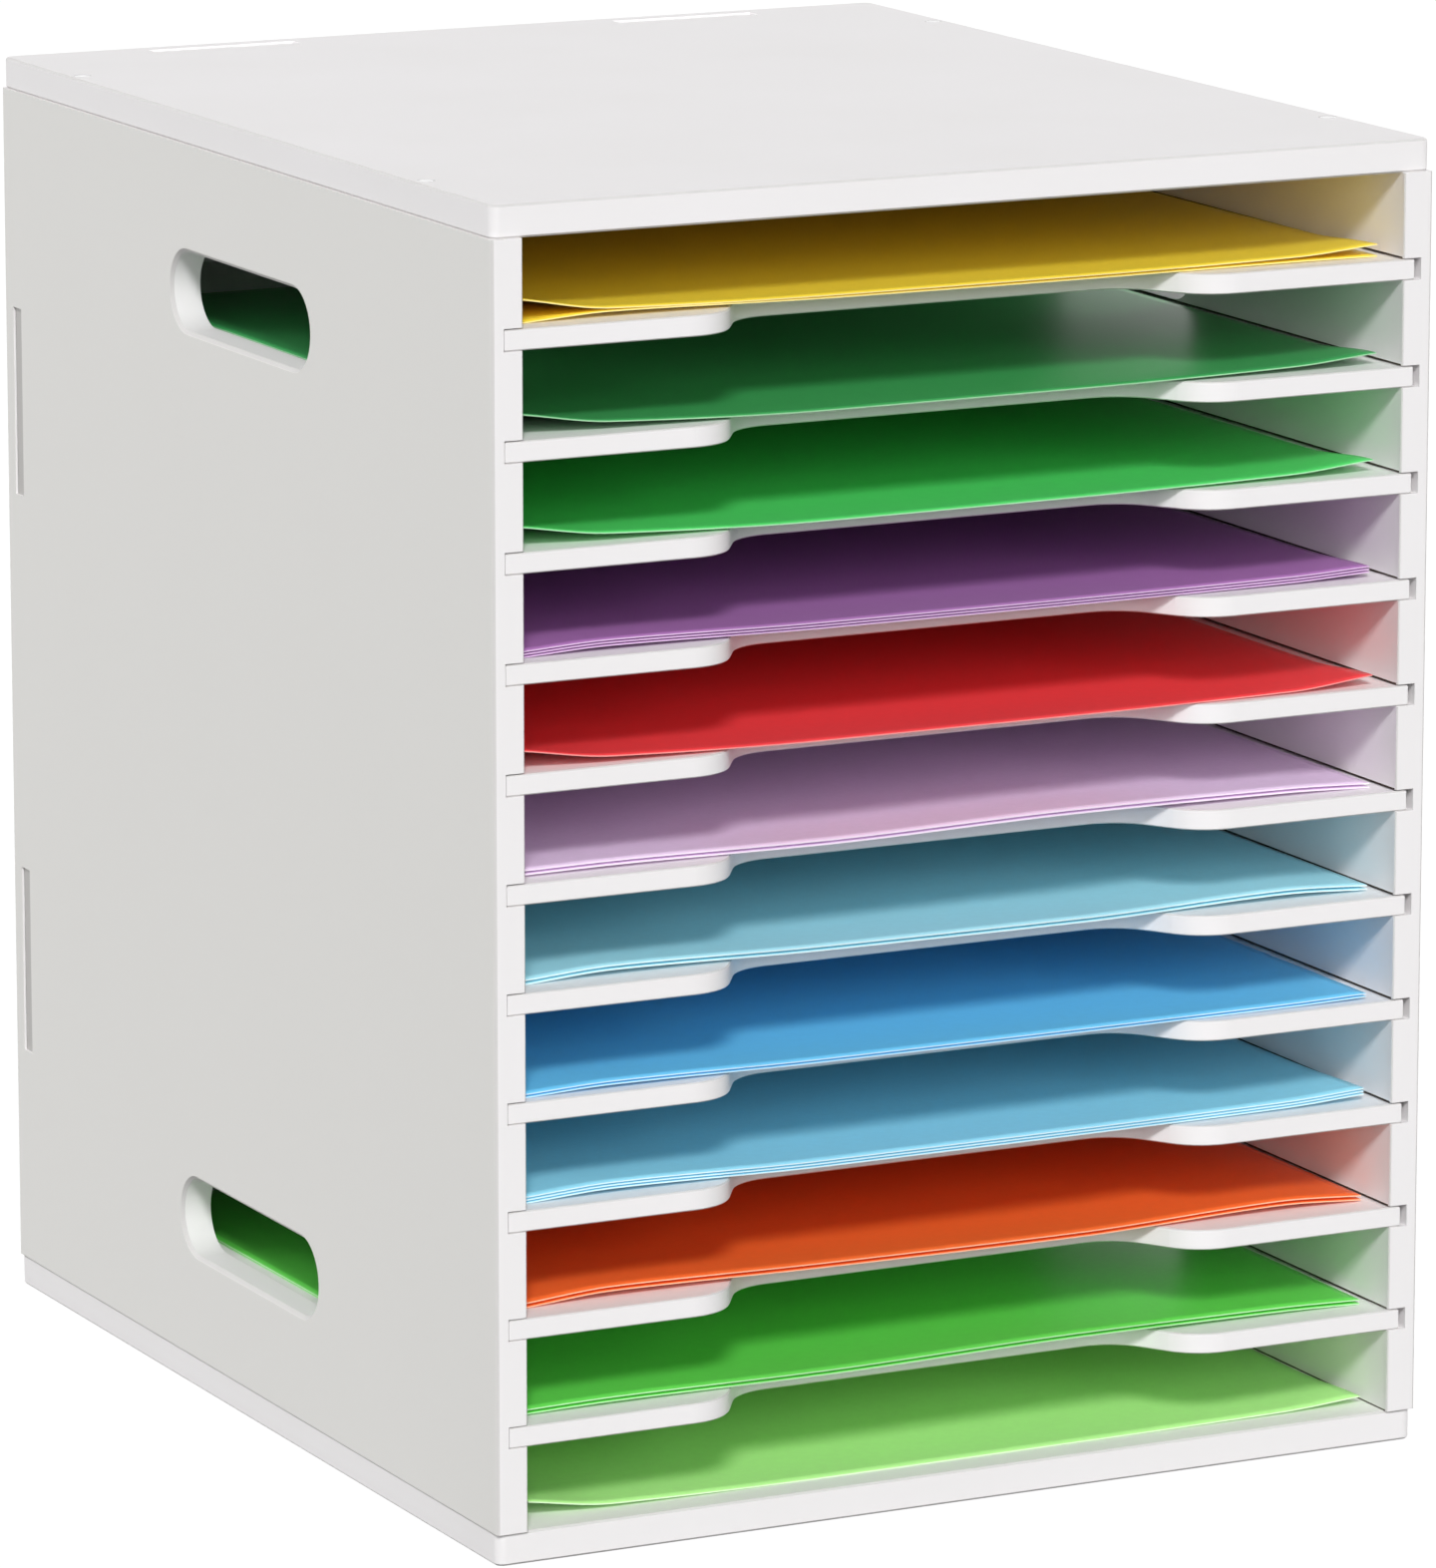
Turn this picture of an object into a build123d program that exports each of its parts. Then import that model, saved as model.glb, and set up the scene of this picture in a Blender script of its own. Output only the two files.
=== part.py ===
from build123d import *
import math
import os

# An upright paper organizer for a craft desk: a white case of screwed and tenoned boards, eleven loose shelves in
# grooves, and the coloured paper that lies in its twelve compartments.
# Millimetres. The origin is at the centre of the underside, +Z is up and the open front faces -Y.

# Case, over everything
CASE_WIDTH = 335.0
CASE_DEPTH = 394.0
CASE_HEIGHT = 433.5

# Boards
CASE_BOARD = 10.6
BACK_BOARD = 6.9
SHELF_BOARD = 6.7

# The top and bottom boards stop a little short of the side boards' faces
CAP_INSET_SIDE = 0.5
CAP_INSET_FRONT = 1.2
CAP_INSET_BACK = 0.4
CAP_CORNER = 3.0
CAP_EDGE_EASE = 0.7
SIDE_EDGE_ROUND = 1.2
INNER_EDGE_EASE = 0.4

# Back board, let in between the others and held by through tenons
BACK_INSET = 7.4
TENON_CLEARANCE = 0.1
TENON_RECESS = 0.8
SIDE_TENON_LENGTH = 65.0
SIDE_TENON_SPACING = 197.0
CAP_TENON_LENGTH = 54.2
CAP_TENON_SPACING = 177.4

# Shelves and their grooves
SHELF_COUNT = 11
GROOVE_DEPTH = 6.5
GROOVE_PLAY = 0.5
SHELF_SEAT_GAP = 0.1
SHELF_END_GAP_LEFT = 0.3
SHELF_END_GAP_RIGHT = 2.4
SHELF_FRONT_RECESS = 0.3
SHELF_BACK_GAP = 0.5
SHELF_EDGE_EASE = 0.4

# Finger cut-out in each shelf's front edge
NOTCH_WIDTH = 154.7
NOTCH_DEPTH = 26.6
NOTCH_END_RUN = 16.8
NOTCH_RADIUS = 19.2

# Hand holes, one in the second compartment from the top and one in the second from the bottom, on both sides
HAND_HOLE_LENGTH = 111.3
HAND_HOLE_MARGIN = 0.7
HAND_HOLE_OFFSET = -3.5
HAND_HOLE_EASE = 1.2
HAND_HOLE_COMPARTMENTS = (2, 11)

# Countersunk screws through the top and bottom boards into the side boards
SCREW_HEAD = 5.8
SCREW_SHANK = 3.2
SCREW_HEAD_ANGLE = 90.0
SCREW_BITE = 22.0
SCREW_CLEARANCE = 0.1
SCREW_SPACING = 276.0

# Paper: 12 inch sheets, a little curled along their width
PAPER_SIDE_GAP = 4.5
PAPER_THICKNESS = 0.5
PAPER_GAP = 0.1
PAPER_STATIONS = (0.0, 0.1, 0.35, 0.65, 0.9, 1.0)

# Sheets in each compartment, from the top one down
SHEET_COUNTS = (2, 1, 1, 3, 1, 2, 2, 2, 3, 2, 2, 1)

# Each compartment's stack: step from one sheet to the next, distance behind the front of the case, how far it lies
# to the right of the middle, and how far its sheets are curled up at each station of their width, left to right
PAPER_STACKS = (
    (1.0, 9.0, -0.2, (6.2, 1.6, 0.2, 0.1, 0.8, 2.9)),
    (1.0, 6.5, -1.5, (6.7, 2.4, 0.2, 0.4, 1.6, 3.9)),
    (1.0, 6.0, -2.4, (6.5, 2.3, 0.1, 0.4, 1.5, 4.0)),
    (0.7, 8.0, -2.0, (0.0, 1.3, 0.3, 0.2, 0.6, 1.7)),
    (1.0, 3.5, -2.9, (6.2, 2.0, 0.1, 0.0, 0.6, 3.4)),
    (1.3, 8.5, -0.6, (0.7, 1.0, 0.2, 1.6, 1.1, 0.0)),
    (1.3, 10.5, 0.3, (0.0, 1.7, 0.3, 0.0, 1.8, 0.4)),
    (1.0, 5.0, -2.8, (0.0, 1.1, 0.2, 0.1, 0.3, 0.8)),
    (0.8, 8.0, -1.3, (0.0, 1.5, 0.1, 0.2, 0.7, 2.1)),
    (1.4, 11.5, 0.3, (0.0, 2.0, 0.7, 0.0, 1.9, 0.3)),
    (1.3, 11.0, 0.0, (0.4, 0.9, 0.2, 1.4, 0.9, 0.0)),
    (1.0, 12.5, 1.5, (5.5, 1.2, 0.0, 0.1, 0.6, 2.3)),
)

# A lowest sheet that is curled otherwise than the one on it, by compartment
LOWEST_SHEETS = {1: (0.0, 1.6, 0.4, 0.1, 0.3, 0.1)}

# Worked out from the sizes above
FRONT = -CASE_DEPTH / 2
INNER_WIDTH = CASE_WIDTH - 2 * CASE_BOARD
INNER_HEIGHT = CASE_HEIGHT - 2 * CASE_BOARD
PAPER_SIZE = INNER_WIDTH - 2 * PAPER_SIDE_GAP
BACK_FACE = CASE_DEPTH / 2 - BACK_INSET - BACK_BOARD
GROOVE_HEIGHT = SHELF_BOARD + GROOVE_PLAY
SHELF_PITCH = (INNER_HEIGHT + GROOVE_HEIGHT) / (SHELF_COUNT + 1)
COMPARTMENT_HEIGHT = SHELF_PITCH - GROOVE_HEIGHT
GROOVE_FLOOR_X = INNER_WIDTH / 2 + GROOVE_DEPTH
SCREW_X = (CASE_WIDTH - CASE_BOARD) / 2


def compartment_floor(number):
    """Height of the floor of a compartment, counted from the top one."""
    return CASE_BOARD + (SHELF_COUNT + 1 - number) * SHELF_PITCH


def groove_bottom(number):
    """Height of the lower face of a groove, counted from the top one."""
    return compartment_floor(number) - GROOVE_HEIGHT


def block(low, high):
    """A box between two corners."""
    size = [b - a for a, b in zip(low, high)]
    centre = [(a + b) / 2 for a, b in zip(low, high)]
    return Pos(*centre) * Box(*size)


def revolved(profile_points):
    """A turned solid about Z from the points of its half section in the XZ plane."""
    face = make_face(Plane.XZ * Polyline(*profile_points, close=True))
    return revolve(face, Axis.Z)


def screw_places():
    """The four screw positions in plan."""
    return [(x, y) for x in (-SCREW_X, SCREW_X) for y in (-SCREW_SPACING / 2, SCREW_SPACING / 2)]


def screw(growth=0.0):
    """One countersunk screw, head up, its top at the origin. Grown, it is the hole that the screw fills."""
    head = SCREW_HEAD / 2 + growth
    shank = SCREW_SHANK / 2 + growth
    cone = (head - shank) / math.tan(math.radians(SCREW_HEAD_ANGLE / 2))
    end = CASE_BOARD + SCREW_BITE + growth
    return revolved([(0, 0), (head, 0), (shank, -cone), (shank, -end), (0, -end)])


def screw_hole():
    """The hole of one screw, open above the board."""
    mouth = Cylinder(SCREW_HEAD / 2 + SCREW_CLEARANCE, CASE_BOARD, align=(Align.CENTER, Align.CENTER, Align.MIN))
    return screw(SCREW_CLEARANCE) + mouth


def cap_panel(upside_down):
    """The top board, or the bottom board when turned over: rounded corners, screw holes and two tenon slots."""
    half_width = CASE_WIDTH / 2 - CAP_INSET_SIDE
    low = (-half_width, FRONT + CAP_INSET_FRONT, CASE_HEIGHT - CASE_BOARD)
    high = (half_width, CASE_DEPTH / 2 - CAP_INSET_BACK, CASE_HEIGHT)
    board = block(low, high)
    board = fillet(board.edges().filter_by(Axis.Z), CAP_CORNER)
    rims = board.faces().sort_by(Axis.Z)[-1].edges() + board.faces().sort_by(Axis.Z)[0].edges()
    board = chamfer(rims, CAP_EDGE_EASE)
    for x, y in screw_places():
        board -= Pos(x, y, CASE_HEIGHT) * screw_hole()
    for x in (-CAP_TENON_SPACING / 2, CAP_TENON_SPACING / 2):
        reach = CAP_TENON_LENGTH / 2 + TENON_CLEARANCE
        board -= block(
            (x - reach, BACK_FACE - TENON_CLEARANCE, CASE_HEIGHT - 2 * CASE_BOARD),
            (x + reach, BACK_FACE + BACK_BOARD + TENON_CLEARANCE, CASE_HEIGHT + CASE_BOARD),
        )
    if upside_down:
        board = mirror(board, Plane.XY.offset(CASE_HEIGHT / 2))
    return board


def hand_hole(number):
    """The cutter of one hand hole, level with a compartment, for the right side board."""
    height = COMPARTMENT_HEIGHT - 2 * HAND_HOLE_MARGIN
    middle = compartment_floor(number) + COMPARTMENT_HEIGHT / 2
    outer = CASE_WIDTH / 2
    slot = SlotOverall(HAND_HOLE_LENGTH, height)
    place = Plane(origin=(outer, HAND_HOLE_OFFSET, middle), x_dir=(0, 1, 0), z_dir=(1, 0, 0))
    return extrude(place * slot, 2 * CASE_BOARD, both=True)


def side_panel_right():
    """The right side board: shelf grooves, hand holes, tenon slots and pilot holes."""
    inner = INNER_WIDTH / 2
    outer = CASE_WIDTH / 2
    board = block((inner, FRONT, CASE_BOARD), (outer, CASE_DEPTH / 2, CASE_HEIGHT - CASE_BOARD))
    for number in HAND_HOLE_COMPARTMENTS:
        board -= hand_hole(number)
    outer_rims = board.faces().sort_by(Axis.X)[-1].inner_wires()
    board = chamfer([edge for rim in outer_rims for edge in rim.edges()], HAND_HOLE_EASE)
    uprights = board.edges().filter_by(Axis.Z).filter_by(lambda edge: edge.length > INNER_HEIGHT / 2)
    board = fillet(uprights.sort_by(Axis.X)[-2:], SIDE_EDGE_ROUND)
    uprights = board.edges().filter_by(Axis.Z).filter_by(lambda edge: edge.length > INNER_HEIGHT / 2)
    board = chamfer(uprights.group_by(Axis.X)[0].sort_by(Axis.Y)[0], INNER_EDGE_EASE)
    for number in range(1, SHELF_COUNT + 1):
        bottom = groove_bottom(number)
        board -= block(
            (inner - CASE_BOARD, FRONT - CASE_BOARD, bottom),
            (inner + GROOVE_DEPTH, BACK_FACE, bottom + GROOVE_HEIGHT),
        )
    for z in (-SIDE_TENON_SPACING / 2, SIDE_TENON_SPACING / 2):
        reach = SIDE_TENON_LENGTH / 2 + TENON_CLEARANCE
        board -= block(
            (inner - CASE_BOARD, BACK_FACE - TENON_CLEARANCE, CASE_HEIGHT / 2 + z - reach),
            (outer + CASE_BOARD, BACK_FACE + BACK_BOARD + TENON_CLEARANCE, CASE_HEIGHT / 2 + z + reach),
        )
    for x, y in screw_places():
        if x > 0:
            board -= Pos(x, y, CASE_HEIGHT) * screw_hole()
            board -= Pos(x, y, 0) * Rot(180, 0, 0) * screw_hole()
    return board


def back_panel():
    """The back board, between the other four, with two tenons on each edge."""
    low = (-INNER_WIDTH / 2, BACK_FACE, CASE_BOARD)
    high = (INNER_WIDTH / 2, BACK_FACE + BACK_BOARD, CASE_HEIGHT - CASE_BOARD)
    board = block(low, high)
    middle = CASE_HEIGHT / 2
    for z in (middle - SIDE_TENON_SPACING / 2, middle + SIDE_TENON_SPACING / 2):
        reach = CASE_WIDTH / 2 - TENON_RECESS
        board += block(
            (-reach, BACK_FACE, z - SIDE_TENON_LENGTH / 2),
            (reach, BACK_FACE + BACK_BOARD, z + SIDE_TENON_LENGTH / 2),
        )
    for x in (-CAP_TENON_SPACING / 2, CAP_TENON_SPACING / 2):
        board += block(
            (x - CAP_TENON_LENGTH / 2, BACK_FACE, TENON_RECESS),
            (x + CAP_TENON_LENGTH / 2, BACK_FACE + BACK_BOARD, CASE_HEIGHT - TENON_RECESS),
        )
    return board


def shelf_outline():
    """The shelf in plan: a rectangle with the finger cut-out in its front edge."""
    left = -GROOVE_FLOOR_X + SHELF_END_GAP_LEFT
    right = GROOVE_FLOOR_X - SHELF_END_GAP_RIGHT
    front = FRONT + SHELF_FRONT_RECESS
    back = BACK_FACE - SHELF_BACK_GAP
    middle = (left + right) / 2
    mouth = (NOTCH_WIDTH + NOTCH_END_RUN) / 2
    floor = (NOTCH_WIDTH - NOTCH_END_RUN) / 2
    front_edge = FilletPolyline(
        (left, front), (middle - mouth, front), (middle - floor, front + NOTCH_DEPTH),
        (middle + floor, front + NOTCH_DEPTH), (middle + mouth, front), (right, front), radius=NOTCH_RADIUS,
    )
    return make_face([*front_edge.edges(), Polyline((right, front), (right, back), (left, back), (left, front))])


def shelf(number):
    """One shelf, lying in its grooves."""
    bottom = groove_bottom(number) + SHELF_SEAT_GAP
    board = extrude(Pos(0, 0, bottom) * shelf_outline(), SHELF_BOARD)
    rims = board.faces().sort_by(Axis.Z)[-1].edges() + board.faces().sort_by(Axis.Z)[0].edges()
    return chamfer(rims, SHELF_EDGE_EASE)


def sheet(floor, setback, sideways, lifts):
    """One sheet of paper lying above the given height, bent along its width as its lifts say."""
    left = sideways - PAPER_SIZE / 2
    lower = [(left + PAPER_SIZE * station, floor + lift) for station, lift in zip(PAPER_STATIONS, lifts)]
    upper = [(x, z + PAPER_THICKNESS) for x, z in reversed(lower)]
    front = Plane(origin=(0, FRONT + setback, 0), x_dir=(1, 0, 0), z_dir=(0, -1, 0))
    return extrude(front * make_face(Polyline(*lower, *upper, close=True)), -PAPER_SIZE)


def paper(number):
    """The sheets of one compartment, each a solid of its own."""
    on_bottom_board = number > SHELF_COUNT
    under = CASE_BOARD if on_bottom_board else groove_bottom(number) + SHELF_SEAT_GAP + SHELF_BOARD
    step, setback, sideways, lifts = PAPER_STACKS[number - 1]
    curls = [lifts] * SHEET_COUNTS[number - 1]
    curls[0] = LOWEST_SHEETS.get(number, lifts)
    return Compound(children=[
        sheet(under + PAPER_GAP + level * step, setback, sideways, curl) for level, curl in enumerate(curls)
    ])


def screws(upside_down):
    """The four screws of the top board, or of the bottom board."""
    if upside_down:
        return Compound(children=[Pos(x, y, 0) * Rot(180, 0, 0) * screw() for x, y in screw_places()])
    return Compound(children=[Pos(x, y, CASE_HEIGHT) * screw() for x, y in screw_places()])


def build_nodes():
    """Every node's name and shape."""
    right = side_panel_right()
    nodes = {
        "top_panel": cap_panel(False),
        "bottom_panel": cap_panel(True),
        "side_panel_right": right,
        "side_panel_left": mirror(right, Plane.YZ),
        "back_panel": back_panel(),
        "top_screws": screws(False),
        "bottom_screws": screws(True),
    }
    for number in range(1, SHELF_COUNT + 1):
        nodes[f"shelf_{number:02d}"] = shelf(number)
    for number in range(1, SHELF_COUNT + 2):
        nodes[f"paper_{number:02d}"] = paper(number)
    return nodes


os.makedirs("parts", exist_ok=True)
for name, shape in build_nodes().items():
    export_step(shape, f"parts/{name}.step")
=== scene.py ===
"""Looks of an upright paper organizer: a white lacquered case, sliding shelves and coloured card.

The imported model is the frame. Its boards, shelves and screws stay and get their finishes here, and each lot of
paper is replaced by finer sheets. Lengths are in metres, except where a name ends in _mm.
"""

import logging
import math
from dataclasses import dataclass
from enum import Enum

import bmesh
import bpy
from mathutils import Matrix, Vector


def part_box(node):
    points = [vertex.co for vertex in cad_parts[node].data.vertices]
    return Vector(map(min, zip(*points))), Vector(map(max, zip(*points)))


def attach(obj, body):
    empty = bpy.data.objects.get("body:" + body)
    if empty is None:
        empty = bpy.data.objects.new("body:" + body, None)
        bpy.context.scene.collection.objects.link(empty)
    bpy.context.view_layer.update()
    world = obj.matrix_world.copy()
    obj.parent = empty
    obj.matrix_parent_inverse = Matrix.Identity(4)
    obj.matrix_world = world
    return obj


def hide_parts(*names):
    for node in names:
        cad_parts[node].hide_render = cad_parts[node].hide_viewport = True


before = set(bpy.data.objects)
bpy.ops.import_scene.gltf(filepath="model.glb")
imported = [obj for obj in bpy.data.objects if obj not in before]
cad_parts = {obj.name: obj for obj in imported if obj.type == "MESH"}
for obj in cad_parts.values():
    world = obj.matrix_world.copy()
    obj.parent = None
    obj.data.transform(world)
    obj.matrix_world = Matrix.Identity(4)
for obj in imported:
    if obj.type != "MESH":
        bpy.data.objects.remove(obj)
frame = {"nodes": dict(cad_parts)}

LOG = logging.getLogger("organizer")
MM = 0.001

# The Mix node has inputs and an output for each kind of value. These are the numbers of its colour ones.
MIX_BELOW, MIX_ABOVE, MIX_RESULT = 6, 7, 2

Tree = bpy.types.NodeTree
Node = bpy.types.Node
Socket = bpy.types.NodeSocket
# What can feed a socket: another socket, or a node, which stands for its first output.
Source = Socket | Node
Colour = tuple[float, float, float, float]


def linear(code: str) -> Colour:
    """Turn an sRGB hex code into linear colour, by the curve of the sRGB standard.

    Args:
        code: Six hex digits, red first.

    Returns:
        Red, green, blue and an alpha of 1.
    """
    channels = [int(code[i:i + 2], 16) / 255 for i in (0, 2, 4)]
    return (*(c / 12.92 if c <= 0.04045 else ((c + 0.055) / 1.055) ** 2.4 for c in channels), 1.0)


def add_node(tree: Tree, kind: str, inputs: dict[str | int, object] | None = None, **settings: object) -> Node:
    """Add a node with its settings, and fill or link its sockets.

    Args:
        tree: The tree that the node goes into.
        kind: The node's type, such as "ShaderNodeMix".
        inputs: Socket name or number to a value, or to the socket or node that feeds it.
        **settings: Properties of the node.

    Returns:
        The new node.
    """
    node = tree.nodes.new(kind)
    for name, value in settings.items():
        setattr(node, name, value)
    for key, value in (inputs or {}).items():
        source = value.outputs[0] if isinstance(value, Node) else value
        if isinstance(source, Socket):
            tree.links.new(source, node.inputs[key])
        else:
            node.inputs[key].default_value = source
    return node


def within(tree: Tree, *ranges: tuple[Source, float, float]) -> Source:
    """Mask the places where each value is in its range: 1 there, and 0 elsewhere.

    Args:
        tree: The node tree to add to.
        ranges: A value, and the low and the high end of its range, for each value.

    Returns:
        The mask.
    """
    masks = [
        add_node(tree, "ShaderNodeMath", {0: value, 1: (low + high) / 2, 2: (high - low) / 2}, operation="COMPARE")
        for value, low, high in ranges
    ]
    result = masks[0]
    for mask in masks[1:]:
        result = add_node(tree, "ShaderNodeMath", {0: result, 1: mask}, operation="MULTIPLY")
    return result


def layered(tree: Tree, base: Source | Colour, *layers: tuple[Source, Colour]) -> Socket:
    """Lay colours over a base, one after another.

    Args:
        tree: The node tree to add to.
        base: The lowest colour.
        layers: A mask from 0 to 1, and the colour that it lays on, for each layer.

    Returns:
        The socket of the colour that shows.
    """
    for mask, colour in layers:
        mix = add_node(tree, "ShaderNodeMix", {"Factor": mask, MIX_BELOW: base, MIX_ABOVE: colour}, data_type="RGBA")
        base = mix.outputs[MIX_RESULT]
    return base


def new_material(name: str) -> tuple[bpy.types.Material, Tree]:
    """Make an empty node material.

    Args:
        name: The material's name.

    Returns:
        The material and its node tree.
    """
    material = bpy.data.materials.new(name)
    material.use_nodes = True
    material.node_tree.nodes.clear()
    return material, material.node_tree


def dress_node(node: bpy.types.Object, material: bpy.types.Material) -> None:
    """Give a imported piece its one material, and leave its shape as it is."""
    node.data.materials.clear()
    node.data.materials.append(material)


def put_in_scene(name: str, data: bpy.types.ID) -> bpy.types.Object:
    """Make an object and put it in the scene.

    Args:
        name: The object's name.
        data: Its mesh, light or camera.

    Returns:
        The object.
    """
    made = bpy.data.objects.new(name, data)
    bpy.context.scene.collection.objects.link(made)
    return made


def smooth_step(low: float, high: float, value: float) -> float:
    """Rise smoothly from 0 at low to 1 at high."""
    t = min(max((value - low) / (high - low), 0.0), 1.0)
    return t * t * (3.0 - 2.0 * t)


@dataclass(frozen=True)
class Grain:
    """A random pattern: the size of its spots, how many finer layers it has, and the share that each keeps."""

    size_mm: float
    detail: float = 2.0
    roughness: float = 0.5

    def at(self, place: Socket) -> dict[str, object]:
        """Say what a noise node needs to draw the pattern at a place."""
        return {
            "Vector": place, "Scale": 1 / (self.size_mm * MM), "Detail": self.detail, "Roughness": self.roughness,
        }


@dataclass(frozen=True)
class SprayedLacquer:
    """Fibreboard under sprayed white acrylic lacquer: satin, with a faint orange peel and a soft mottle.

    The mottle turns colour into shade, and the gloss changes with it by gloss_change to either side. The peel's real
    spacing is under a millimetre. It is drawn at 2 mm, so that it shows in a render. faces is the axis that the
    board's two faces look along. A face whose normal has a share of it in the range eased_slope is an eased edge, which
    is painted a little darker, as painted shade that tones down how brightly the edges catch the light. edge_mm is how
    far the edges are shaded round.
    """

    name: str
    colour: str
    shade: str
    faces: str = "Z"
    painted_edge_shade: str = "D4D2D1"
    roughness: float = 0.58
    gloss_change: float = 0.04
    ior: float = 1.33
    mottle: Grain = Grain(60.0)
    peel: Grain = Grain(2.0, 1.0, 0.4)
    peel_height_mm: float = 0.012
    edge_mm: float = 0.25
    eased_slope: tuple[float, float] = (0.25, 0.95)

    def paint(self, tree: Tree, place: Socket, coat: Socket) -> Socket:
        """Say which colour the board has at a place: the coat's, all over.

        Args:
            tree: The material's node tree. Not used here.
            place: The place on the board. Not used here.
            coat: The lacquer's colour.

        Returns:
            The colour to shade with.
        """
        return coat

    def material(self) -> bpy.types.Material:
        """Make the lacquer's material.

        Returns:
            The material.
        """
        material, tree = new_material(self.name)
        place = add_node(tree, "ShaderNodeTexCoord").outputs["Object"]
        normal = add_node(tree, "ShaderNodeNewGeometry").outputs["True Normal"]
        turned = add_node(tree, "ShaderNodeSeparateXYZ", {"Vector": normal}).outputs[self.faces]
        slope = add_node(tree, "ShaderNodeMath", {0: turned}, operation="ABSOLUTE")
        mottle = add_node(tree, "ShaderNodeTexNoise", self.mottle.at(place))
        coat = layered(
            tree, linear(self.colour),
            (mottle, linear(self.shade)),
            # Painted shade: the eased edges get a darker colour, so that they catch less light.
            (within(tree, (slope, *self.eased_slope)), linear(self.painted_edge_shade)),
        )
        gloss = add_node(tree, "ShaderNodeMapRange", {
            "Value": mottle, "To Min": self.roughness - self.gloss_change, "To Max": self.roughness + self.gloss_change,
        })
        bump = add_node(tree, "ShaderNodeBump", {
            "Height": add_node(tree, "ShaderNodeTexNoise", self.peel.at(place)),
            "Distance": self.peel_height_mm * MM, "Strength": 1.0,
            "Normal": add_node(tree, "ShaderNodeBevel", {"Radius": self.edge_mm * MM}),
        })
        shader = add_node(tree, "ShaderNodeBsdfPrincipled", {
            "Base Color": self.paint(tree, place, coat), "Roughness": gloss, "IOR": self.ior, "Normal": bump,
        })
        add_node(tree, "ShaderNodeOutputMaterial", {"Surface": shader})
        return material


@dataclass(frozen=True, kw_only=True)
class GroovedLacquer(SprayedLacquer):
    """The same lacquer on a side board, with a darker, warmer outer face as painted shade, and grooves that are raw
    board inside, painted darker still as painted shade.

    The grooves run level from front to rear, one pitch apart, and start at lowest. inner and outer are the board's
    faces, as distances from the middle of the case. The spray went sprayed_mm into the grooves' front ends. A thin
    strip above each, lip_mm high, from eased_mm behind the front edge, gets the same dark colour: a painted shadow
    line along the gap over the shelf. margin_mm widens what is painted a hair, so that it takes in the faces that it
    ends at.
    """

    lowest: float
    pitch: float
    height: float
    depth: float
    inner: float
    outer: float
    front: float
    rear: float
    outer_face_shade: str = "E3E2DF"
    raw_board_and_shade: str = "3A2F27"
    sprayed_mm: float = 14.0
    lip_mm: float = 0.5
    eased_mm: float = 1.0
    margin_mm: float = 0.1

    def paint(self, tree: Tree, place: Socket, coat: Socket) -> Socket:
        """Darken the outer face as painted shade, and paint the grooves' insides and a strip above each dark: raw
        board, darkened into painted shade.

        Args:
            tree: The material's node tree.
            place: The place on the board.
            coat: The lacquer's colour.

        Returns:
            The colour at that place.
        """
        margin = self.margin_mm * MM
        ceiling = self.height + margin
        axes = add_node(tree, "ShaderNodeSeparateXYZ", {"Vector": place}).outputs
        out = add_node(tree, "ShaderNodeMath", {0: axes["X"]}, operation="ABSOLUTE")
        above = add_node(tree, "ShaderNodeMath", {0: axes["Z"], 1: self.lowest - margin}, operation="SUBTRACT")
        pitches = add_node(tree, "ShaderNodeMath", {0: above, 1: self.pitch}, operation="DIVIDE")
        share = add_node(tree, "ShaderNodeMath", {0: pitches}, operation="FRACT")
        level = add_node(tree, "ShaderNodeMath", {0: share, 1: self.pitch}, operation="MULTIPLY")
        # The grooves' insides: raw board, painted darker than it is, as painted shade.
        inside = within(
            tree,
            (level, 0.0, ceiling + margin),
            (out, self.inner + margin, self.inner + self.depth + margin),
            (axes["Y"], self.front + self.sprayed_mm * MM, self.rear),
        )
        # Painted shadow: a thin dark strip above each groove stands in for the shade in the gap over the shelf.
        lip = within(
            tree,
            (level, ceiling, ceiling + self.lip_mm * MM),
            (out, self.inner - margin, self.inner + self.depth),
            (axes["Y"], self.front + self.eased_mm * MM, self.rear),
        )
        raw_and_shaded = add_node(tree, "ShaderNodeMath", {0: inside, 1: lip}, operation="MAXIMUM")
        # Painted shade: the outer face is painted darker, standing in for the weaker light on the case's sides.
        faced = add_node(tree, "ShaderNodeMath", {0: out, 1: self.outer - margin}, operation="GREATER_THAN")
        return layered(tree, coat, (raw_and_shaded, linear(self.raw_board_and_shade)), (faced, linear(self.outer_face_shade)))


@dataclass(frozen=True, kw_only=True)
class TenonedLacquer(SprayedLacquer):
    """The same lacquer on the back board, whose side tenons' ends are painted darker, as painted shade for the slots
    that they sit back in.

    reach is how far from the middle of the case the side boards' outer faces are. The ends begin end_mm short of it.
    """

    reach: float
    tenon_end_shade: str = "BAB8B6"
    end_mm: float = 2.0

    def paint(self, tree: Tree, place: Socket, coat: Socket) -> Socket:
        """Darken the ends of the side tenons, as painted shade.

        Args:
            tree: The material's node tree.
            place: The place on the board.
            coat: The lacquer's colour.

        Returns:
            The colour at that place.
        """
        across = add_node(tree, "ShaderNodeSeparateXYZ", {"Vector": place}).outputs["X"]
        out = add_node(tree, "ShaderNodeMath", {0: across}, operation="ABSOLUTE")
        # Painted shade: the side tenons' ends, back in their slots, get a darker colour.
        end = add_node(tree, "ShaderNodeMath", {0: out, 1: self.reach - self.end_mm * MM}, operation="GREATER_THAN")
        return layered(tree, coat, (end, linear(self.tenon_end_shade)))


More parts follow.
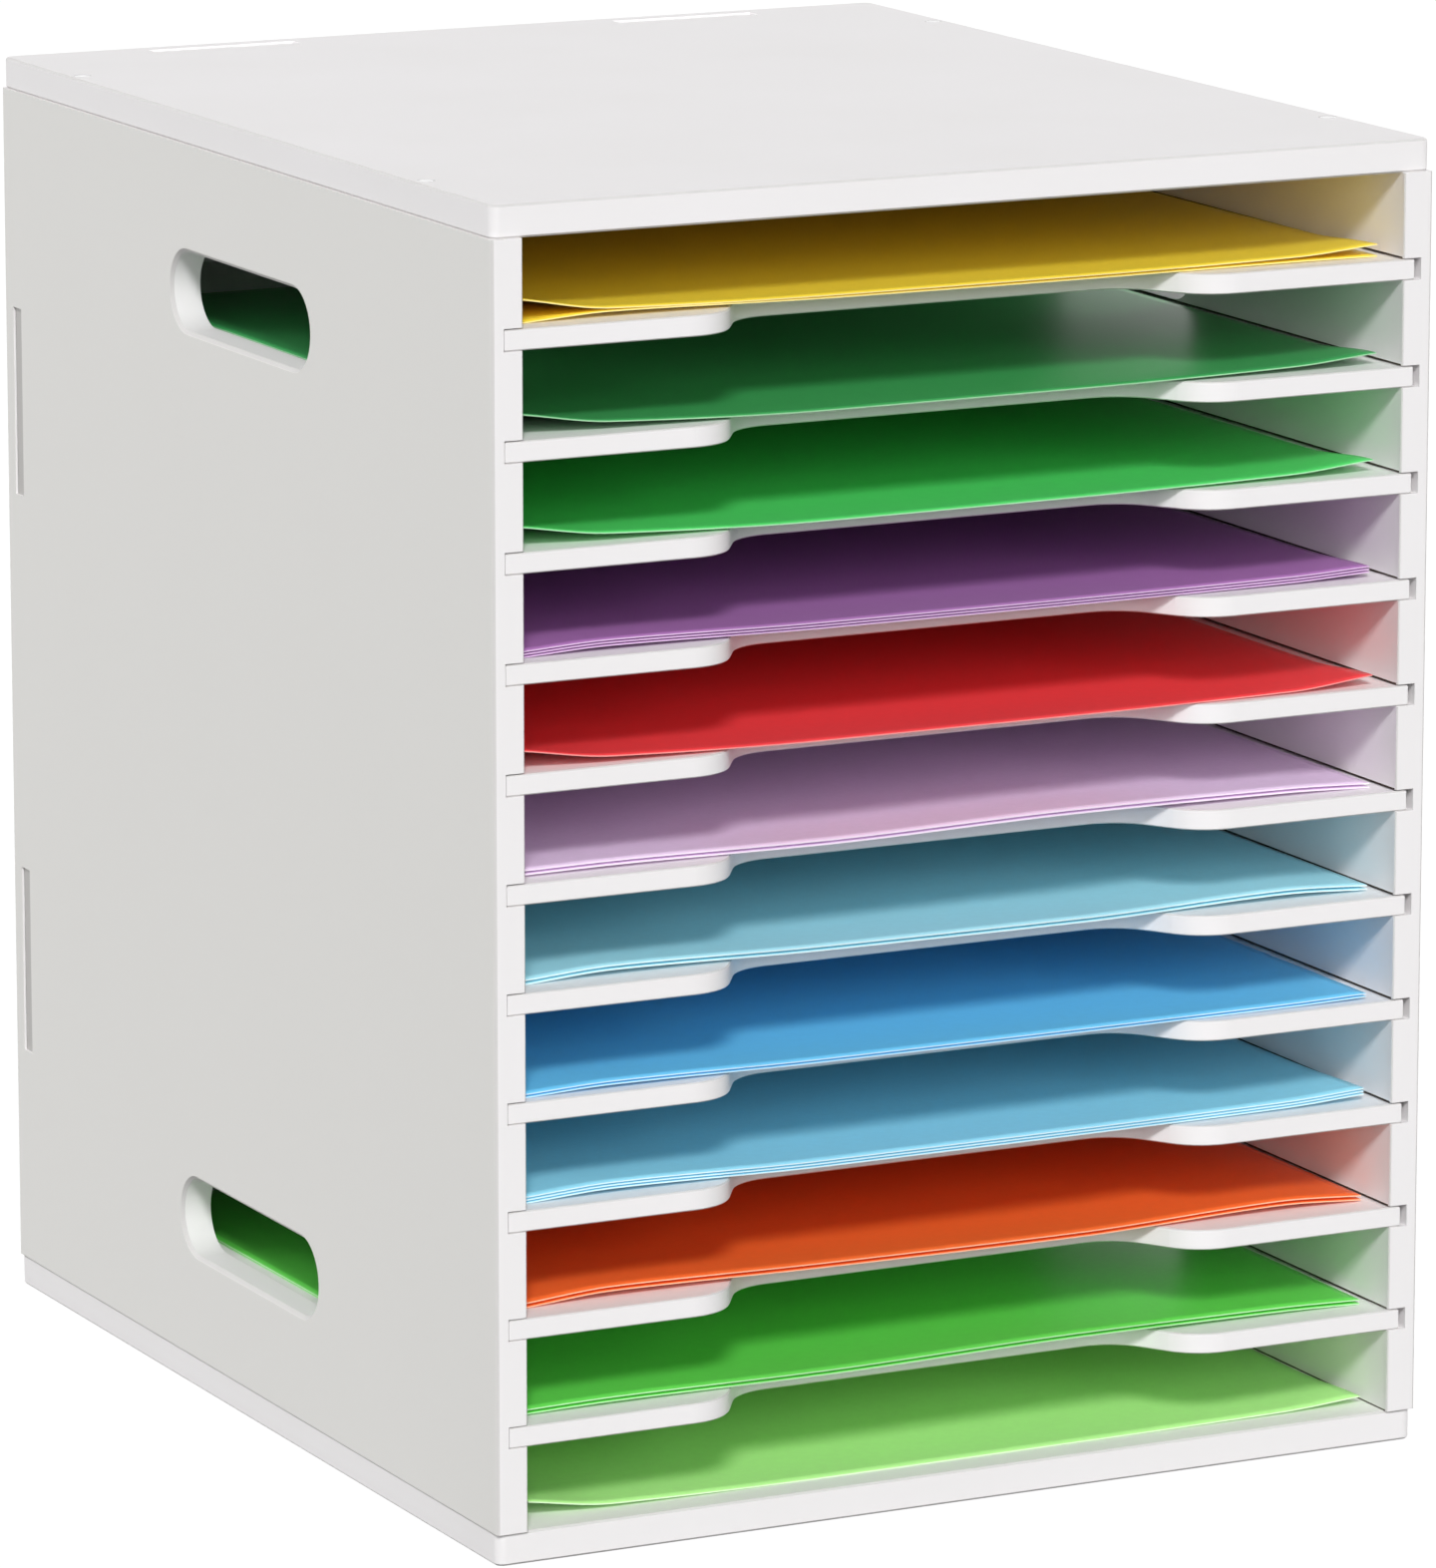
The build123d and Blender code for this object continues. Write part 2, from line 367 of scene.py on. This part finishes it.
@dataclass(frozen=True)
class ScrewEnamel:
    """A countersunk steel screw with a white enamelled head: glossy, with tiny dimples from the dip.

    The enamel is thick at the rim of the head, and rounds it over rim_mm.
    """

    name: str = "white_enamel"
    colour: str = "FDFDFD"
    roughness: float = 0.1
    ior: float = 1.8
    rim_mm: float = 1.2
    dimples: Grain = Grain(1.5)
    dimple_height_mm: float = 0.004

    def material(self) -> bpy.types.Material:
        """Make the enamel's material.

        Returns:
            The material.
        """
        material, tree = new_material(self.name)
        place = add_node(tree, "ShaderNodeTexCoord").outputs["Object"]
        bump = add_node(tree, "ShaderNodeBump", {
            "Height": add_node(tree, "ShaderNodeTexNoise", self.dimples.at(place)),
            "Distance": self.dimple_height_mm * MM, "Strength": 1.0,
            "Normal": add_node(tree, "ShaderNodeBevel", {"Radius": self.rim_mm * MM}),
        })
        shader = add_node(tree, "ShaderNodeBsdfPrincipled", {
            "Base Color": linear(self.colour), "Roughness": self.roughness, "IOR": self.ior, "Normal": bump,
        })
        add_node(tree, "ShaderNodeOutputMaterial", {"Surface": shader})
        return material


@dataclass(frozen=True)
class CardStock:
    """Smooth dyed card, calendered: a soft gloss over short fibres, and a paler cut edge, pale partly from its undyed
    core and partly as a painted highlight.

    Fibres are about 1 mm long and far too thin to show, so their clouding is drawn at 3 mm. It makes the faces lighter
    and darker by cloud, and brings up to edge_dye of their dye to the cut edge.
    """

    name: str
    face: str
    edge: str
    roughness: float = 0.38
    edge_roughness: float = 0.8
    ior: float = 1.4
    fibres: Grain = Grain(3.0, 3.0, 0.6)
    edge_fibres: Grain = Grain(3.0)
    fibre_height_mm: float = 0.01
    cloud: float = 0.05
    edge_dye: float = 0.3

    def face_material(self) -> bpy.types.Material:
        """Make the material of the sheet's two faces.

        Returns:
            The material.
        """
        material, tree = new_material(f"{self.name}_face")
        place = add_node(tree, "ShaderNodeTexCoord").outputs["Object"]
        fibres = add_node(tree, "ShaderNodeTexNoise", self.fibres.at(place))
        value = add_node(tree, "ShaderNodeMapRange", {
            "Value": fibres, "To Min": 1 - self.cloud, "To Max": 1 + self.cloud,
        })
        colour = add_node(tree, "ShaderNodeHueSaturation", {"Color": linear(self.face), "Value": value})
        bump = add_node(tree, "ShaderNodeBump", {
            "Height": fibres, "Distance": self.fibre_height_mm * MM, "Strength": 1.0,
        })
        shader = add_node(tree, "ShaderNodeBsdfPrincipled", {
            "Base Color": colour, "Roughness": self.roughness, "IOR": self.ior, "Normal": bump,
        })
        add_node(tree, "ShaderNodeOutputMaterial", {"Surface": shader})
        return material

    def edge_material(self) -> bpy.types.Material:
        """Make the material of the cut edge: matt and paler, partly since the dye doesn't reach the core and partly as
        a painted highlight along the lit edge.

        Returns:
            The material.
        """
        material, tree = new_material(f"{self.name}_edge")
        place = add_node(tree, "ShaderNodeTexCoord").outputs["Object"]
        fibres = add_node(tree, "ShaderNodeTexNoise", self.edge_fibres.at(place))
        dye = add_node(tree, "ShaderNodeMapRange", {"Value": fibres, "To Max": self.edge_dye})
        shader = add_node(tree, "ShaderNodeBsdfPrincipled", {
            # The edge colour is paler than the face partly as a painted highlight along the lit edge.
            "Base Color": layered(tree, linear(self.edge), (dye, linear(self.face))), "Roughness": self.edge_roughness,
        })
        add_node(tree, "ShaderNodeOutputMaterial", {"Surface": shader})
        return material


class Card(Enum):
    """The card in each compartment, from the top one down."""

    # Each card's second colour is its cut edge's: paler than the face, partly from the undyed core and partly as a
    # painted highlight.
    MUSTARD = CardStock("mustard_card", "F3DA43", "F6E6A0")
    FOREST = CardStock("forest_card", "41A55C", "A6D6AC")
    MEADOW = CardStock("meadow_card", "56D86E", "B4E6BB")
    VIOLET = CardStock("violet_card", "AE77B7", "DFC4E3")
    POPPY = CardStock("poppy_card", "F2474C", "F2A09C")
    LILAC = CardStock("lilac_card", "EAD3EF", "F5EAF6")
    SEAGLASS = CardStock("seaglass_card", "AAE3F0", "E6F7F9")
    AZURE = CardStock("azure_card", "71CAF3", "CFE8F8")
    SKY = CardStock("sky_card", "98DDF2", "E0F3FA")
    TANGERINE = CardStock("tangerine_card", "F36D2F", "FFC6A4")
    LEAF = CardStock("leaf_card", "66D655", "C0EABA")
    PISTACHIO = CardStock("pistachio_card", "B8F397", "DFF6D4")


@dataclass
class Case:
    """The case: grooved side boards, plain top, bottom and back boards, and the screws. Its solids stay as they are.

    The grooves are groove_depth_mm deep and groove_play_mm higher than the shelves, which lie seat_gap_mm above their
    floors.
    """

    sides: tuple[str, ...] = ("side_panel_left", "side_panel_right")
    caps: tuple[str, ...] = ("top_panel", "bottom_panel")
    back: tuple[str, ...] = ("back_panel",)
    screws: tuple[str, ...] = ("top_screws", "bottom_screws")
    colour: str = "F0EEEF"
    shade: str = "EDEBEB"
    groove_depth_mm: float = 6.5
    groove_play_mm: float = 0.5
    seat_gap_mm: float = 0.1
    enamel: ScrewEnamel = ScrewEnamel()

    def side_lacquer(self) -> GroovedLacquer:
        """Fit the side boards' lacquer to the grooves that the shelves lie in.

        Returns:
            The lacquer.
        """
        lowest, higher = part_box("shelf_11"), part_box("shelf_10")
        low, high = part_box("side_panel_right")
        return GroovedLacquer(
            "side_lacquer", self.colour, self.shade, "X",
            lowest=lowest[0][2] - self.seat_gap_mm * MM,
            pitch=higher[0][2] - lowest[0][2],
            height=lowest[1][2] - lowest[0][2] + self.groove_play_mm * MM,
            depth=self.groove_depth_mm * MM,
            inner=low[0],
            outer=high[0],
            front=low[1],
            rear=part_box("back_panel")[0][1],
        )

    def back_lacquer(self) -> TenonedLacquer:
        """Fit the back board's lacquer to the side boards that its tenons go through."""
        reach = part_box("side_panel_right")[1][0]
        return TenonedLacquer("back_lacquer", self.colour, self.shade, "Y", reach=reach)

    def dress(self, nodes: dict[str, bpy.types.Object]) -> None:
        """Give the boards and screws their finishes.

        Args:
            nodes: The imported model's objects by node name.
        """
        finishes = {
            self.sides: self.side_lacquer(),
            self.caps: SprayedLacquer("cap_lacquer", self.colour, self.shade),
            self.back: self.back_lacquer(),
            self.screws: self.enamel,
        }
        for names, finish in finishes.items():
            material = finish.material()
            for name in names:
                dress_node(nodes[name], material)
                LOG.info("dressed %s in %s", name, material.name)


@dataclass
class Shelves:
    """The loose shelves in their grooves."""

    count: int = 11
    lacquer: SprayedLacquer = SprayedLacquer("shelf_lacquer", "F1EFF0", "EEECEC", roughness=0.45)

    def dress(self, nodes: dict[str, bpy.types.Object]) -> None:
        """Give every shelf its finish.

        Args:
            nodes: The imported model's objects by node name.
        """
        material = self.lacquer.material()
        for number in range(1, self.count + 1):
            dress_node(nodes[f"shelf_{number:02d}"], material)
        LOG.info("dressed %d shelves in %s", self.count, material.name)


@dataclass
class PaperStack:
    """The sheets of one compartment.

    curls_mm has a row for each sheet, the lowest first: how far its front edge stands up at each station of its width,
    left to right. Behind the front corners the curl dies away over corner_mm, and kept is the share of it that stays at
    the left and at the right. The sheets lie step_mm apart at the front, and settle to settled_mm over settle_mm. The
    sheet's two faces are those whose normals stand up more than face_rise.
    """

    number: int
    card: Card
    step_mm: float
    curls_mm: list[tuple[float, ...]]
    kept: tuple[float, float] = (0.0, 1.0)
    stations: tuple[float, ...] = (0.0, 0.1, 0.35, 0.65, 0.9, 1.0)
    thickness_mm: float = 0.4
    corner_mm: float = 42.0
    settled_mm: float = 0.6
    settle_mm: float = 150.0
    grid: tuple[int, int] = (96, 64)
    face_rise: float = 0.5

    @property
    def node(self) -> str:
        """The name of the CAD node, and of the body, that the sheets stand for."""
        return f"paper_{self.number:02d}"

    def section(self, across: float, curl: tuple[float, ...]) -> float:
        """Height of a sheet's front edge, by a smooth curve through its stations that never swings past them.

        Args:
            across: From 0 at the left edge to 1 at the right.
            curl: The heights at the stations.

        Returns:
            The height, in the curl's units.
        """
        xs, last = self.stations, len(self.stations) - 1
        slopes = [(curl[i + 1] - curl[i]) / (xs[i + 1] - xs[i]) for i in range(last)]
        tangents = [slopes[0]]
        for before, after in zip(slopes, slopes[1:]):
            tangents.append(2 * before * after / (before + after) if before * after > 0 else 0.0)
        tangents.append(slopes[-1])
        i = next((k for k in range(last) if across <= xs[k + 1]), last - 1)
        width = xs[i + 1] - xs[i]
        t = (across - xs[i]) / width
        return (
            (2 * t ** 3 - 3 * t ** 2 + 1) * curl[i] + (t ** 3 - 2 * t ** 2 + t) * width * tangents[i]
            + (3 * t ** 2 - 2 * t ** 3) * curl[i + 1] + (t ** 3 - t ** 2) * width * tangents[i + 1]
        )

    def height(self, across: float, behind_mm: float, level: int) -> float:
        """Height of a sheet's underside above the lowest sheet's rest, in millimetres.

        Args:
            across: Share of the width, from the left edge.
            behind_mm: Distance behind the sheet's front edge.
            level: The sheet's number in the stack, from 0 for the lowest.

        Returns:
            The height at that point of the sheet.
        """
        kept = self.kept[0] + (self.kept[1] - self.kept[0]) * across
        curl = self.section(across, self.curls_mm[level]) * (
            1.0 - (1.0 - kept) * smooth_step(0.0, self.corner_mm, behind_mm)
        )
        step = self.step_mm + (self.settled_mm - self.step_mm) * smooth_step(0.0, self.settle_mm, behind_mm)
        return curl + level * step

    def sheet(self, level: int) -> bpy.types.Mesh:
        """Make one sheet's mesh: a fine unit square, laid over the stack's box and given its thickness.

        Args:
            level: The sheet's number in the stack, from 0 for the lowest.

        Returns:
            The mesh, with material 0 on its faces and material 1 on its cut edge.
        """
        low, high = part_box(self.node)
        rest = low[2] - min(self.curls_mm[0]) * MM
        half = 0.5
        bm = bmesh.new()
        bmesh.ops.create_grid(bm, x_segments=self.grid[0], y_segments=self.grid[1], size=half)
        for vert in bm.verts:
            across, behind = vert.co.x + half, (vert.co.y + half) * (high[1] - low[1])
            vert.co = Vector((
                low[0] + across * (high[0] - low[0]), low[1] + behind,
                rest + self.height(across, behind / MM, level) * MM,
            ))
        raised = bmesh.ops.extrude_face_region(bm, geom=list(bm.faces))
        lifted = [piece for piece in raised["geom"] if isinstance(piece, bmesh.types.BMVert)]
        bmesh.ops.translate(bm, vec=(0, 0, self.thickness_mm * MM), verts=lifted)
        bmesh.ops.recalc_face_normals(bm, faces=bm.faces)
        for made in bm.faces:
            made.smooth = abs(made.normal.z) > self.face_rise
            made.material_index = 0 if made.smooth else 1
        mesh = bpy.data.meshes.new(f"sheet_{self.number:02d}_{level + 1}")
        bm.to_mesh(mesh)
        bm.free()
        return mesh

    def build(self) -> None:
        """Build the sheets, dress them and hang them on the frame."""
        stock = self.card.value
        face, edge = stock.face_material(), stock.edge_material()
        for level in range(len(self.curls_mm)):
            mesh = self.sheet(level)
            mesh.materials.append(face)
            mesh.materials.append(edge)
            sheet = put_in_scene(mesh.name, mesh)
            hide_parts(self.node)
            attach(sheet, self.node)
        LOG.info("built %d sheets of %s for %s", len(self.curls_mm), stock.name, self.node)


@dataclass
class Paper:
    """All the paper in the case. loose is the share of its corners' curl that a loose sheet keeps, left and right."""

    loose: tuple[float, float] = (0.0, 0.3)

    def stacks(self) -> list[PaperStack]:
        """List the compartments' stacks, from the top one down.

        Returns:
            The stacks.
        """
        return [
            PaperStack(1, Card.MUSTARD, 1.0, [
                (0.0, 1.6, 0.4, 0.1, 0.3, 0.1), (6.2, 1.6, 0.2, 0.1, 0.8, 2.9),
            ], self.loose),
            PaperStack(2, Card.FOREST, 1.0, [(6.7, 2.4, 0.2, 0.4, 1.6, 3.9)], self.loose),
            PaperStack(3, Card.MEADOW, 1.0, [(6.5, 2.3, 0.1, 0.4, 1.5, 4.0)], self.loose),
            PaperStack(4, Card.VIOLET, 0.9, 3 * [(0.0, 1.3, 0.3, 0.2, 0.6, 1.7)], (0.0, 0.2)),
            PaperStack(5, Card.POPPY, 1.0, [(6.2, 2.0, 0.1, 0.0, 0.6, 3.4)], self.loose),
            PaperStack(6, Card.LILAC, 1.3, 2 * [(0.7, 1.0, 0.2, 1.6, 1.1, 0.0)]),
            PaperStack(7, Card.SEAGLASS, 1.3, 2 * [(0.0, 1.7, 0.3, 0.0, 1.8, 0.4)]),
            PaperStack(8, Card.AZURE, 1.0, 2 * [(0.0, 1.1, 0.2, 0.1, 0.3, 0.8)]),
            PaperStack(9, Card.SKY, 0.95, 3 * [(0.0, 1.5, 0.1, 0.2, 0.7, 2.1)], (0.0, 0.5)),
            PaperStack(10, Card.TANGERINE, 1.4, 2 * [(0.0, 2.0, 0.7, 0.0, 1.9, 0.3)]),
            PaperStack(11, Card.LEAF, 1.3, 2 * [(0.4, 0.9, 0.2, 1.4, 0.9, 0.0)]),
            PaperStack(12, Card.PISTACHIO, 1.0, [(5.5, 1.2, 0.0, 0.1, 0.6, 2.3)], self.loose),
        ]

    def build(self) -> None:
        """Build every stack."""
        for stack in self.stacks():
            stack.build()


@dataclass(frozen=True)
class SoftLight:
    """A far, round soft light.

    towards points from the object to the light. light is how bright a white surface that faces it gets from it,
    where 1 is white, and spread is the angle that it fills in the sky, in degrees.
    """

    name: str
    towards: tuple[float, float, float]
    light: float
    spread: float

    def place(self) -> None:
        """Make the light."""
        data = bpy.data.lights.new(self.name, "SUN")
        data.energy = self.light * math.pi
        data.angle = math.radians(self.spread)
        lamp = put_in_scene(self.name, data)
        lamp.rotation_euler = Vector(self.towards).to_track_quat("Z", "Y").to_euler()


@dataclass
class Studio:
    """The camera, the pale floor and the light.

    Angles are in degrees. The camera sees no further than sight. What looks at the background gets it at the strength
    backdrop_light, where 1 is white, and the object gets it at world_light. What looks at the floor sees its paint
    lifted by floor_glow.
    """

    camera_place: tuple[float, float, float] = (-1.3904, -2.8005, 0.8565)
    camera_yaw: float = -26.543
    camera_pitch: float = -11.855
    lens_mm: float = 217.66
    sensor_mm: float = 36.0
    sight: float = 100.0
    floor_half: float = 20.0
    floor_drop_mm: float = 0.2
    floor_colour: str = "7C7C7C"
    floor_glow: float = 0.88
    backdrop: str = "FFFFFF"
    backdrop_light: float = 1.0
    world_light: float = 0.13
    diffuse_bounces: int = 10
    lights: tuple[SoftLight, ...] = (
        SoftLight("key", (-0.6, -1.22, 1.0), 0.7, 11.0),
        SoftLight("low_front", (0.1, -3.2, 1.0), 0.26, 24.0),
        SoftLight("low_left", (-0.8, -1.0, 0.25), 0.14, 40.0),
        SoftLight("left_back", (-1.0, 1.0, 0.35), 0.54, 40.0),
        SoftLight("right", (1.0, 0.25, 0.2), 0.5, 40.0),
    )

    def camera(self) -> None:
        """Make the camera at the photograph's place and angle.

        Unturned it looks straight down, and a turn of 90 degrees brings it level.
        """
        data = bpy.data.cameras.new("camera")
        data.lens = self.lens_mm
        data.sensor_width = self.sensor_mm
        data.clip_end = self.sight
        camera = put_in_scene("camera", data)
        camera.location = self.camera_place
        camera.rotation_euler = (math.radians(90 + self.camera_pitch), 0.0, math.radians(self.camera_yaw))
        bpy.context.scene.camera = camera

    def seen(self, tree: Tree) -> Source:
        """Tell the rays that look at the background, straight or by gloss or glass, from those that carry light.

        Args:
            tree: The node tree to add to.

        Returns:
            A value of 1 for a ray that looks, and 0 for one that carries light.
        """
        rays = add_node(tree, "ShaderNodeLightPath").outputs
        looking = rays["Is Camera Ray"]
        for kind in ("Is Glossy Ray", "Is Transmission Ray"):
            looking = add_node(tree, "ShaderNodeMath", {0: looking, 1: rays[kind]}, operation="MAXIMUM")
        return looking

    def floor(self) -> None:
        """Lay the floor: pale, and lifted for rays that look at it, so that it shows white with a soft shadow.

        It lies a hair below the case, so that the two don't flicker into each other from below.
        """
        bm = bmesh.new()
        bmesh.ops.create_grid(bm, x_segments=1, y_segments=1, size=self.floor_half)
        bmesh.ops.translate(bm, vec=(0, 0, -self.floor_drop_mm * MM), verts=bm.verts)
        mesh = bpy.data.meshes.new("floor")
        bm.to_mesh(mesh)
        bm.free()
        material, tree = new_material("studio_floor")
        glow = add_node(tree, "ShaderNodeMath", {0: self.seen(tree), 1: self.floor_glow}, operation="MULTIPLY")
        both = add_node(tree, "ShaderNodeAddShader", {
            0: add_node(tree, "ShaderNodeBsdfDiffuse", {"Color": linear(self.floor_colour)}),
            1: add_node(tree, "ShaderNodeEmission", {"Strength": glow}),
        })
        add_node(tree, "ShaderNodeOutputMaterial", {"Surface": both})
        mesh.materials.append(material)
        floor = put_in_scene("floor", mesh)

    def world(self) -> None:
        """Light the scene a little from all round, with a background that shows white."""
        world = bpy.data.worlds.new("studio")
        world.use_nodes = True
        tree = world.node_tree
        tree.nodes.clear()
        strength = add_node(tree, "ShaderNodeMapRange", {
            "Value": self.seen(tree), "To Min": self.world_light, "To Max": self.backdrop_light,
        })
        sky = add_node(tree, "ShaderNodeBackground", {"Color": linear(self.backdrop), "Strength": strength})
        add_node(tree, "ShaderNodeOutputWorld", {"Surface": sky})
        bpy.context.scene.world = world

    def build(self) -> None:
        """Set up the whole studio."""
        scene = bpy.context.scene
        scene.view_settings.view_transform = "Standard"
        scene.cycles.diffuse_bounces = self.diffuse_bounces
        self.camera()
        self.floor()
        self.world()
        for light in self.lights:
            light.place()
        LOG.info("set up the studio with %d lights", len(self.lights))


def main() -> None:
    """Dress the model, build the paper and set up the studio."""
    logging.basicConfig(level=logging.INFO, format="%(message)s")
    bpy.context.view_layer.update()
    Case().dress(frame["nodes"])
    Shelves().dress(frame["nodes"])
    Paper().build()
    Studio().build()


if __name__ == "__main__":
    main()
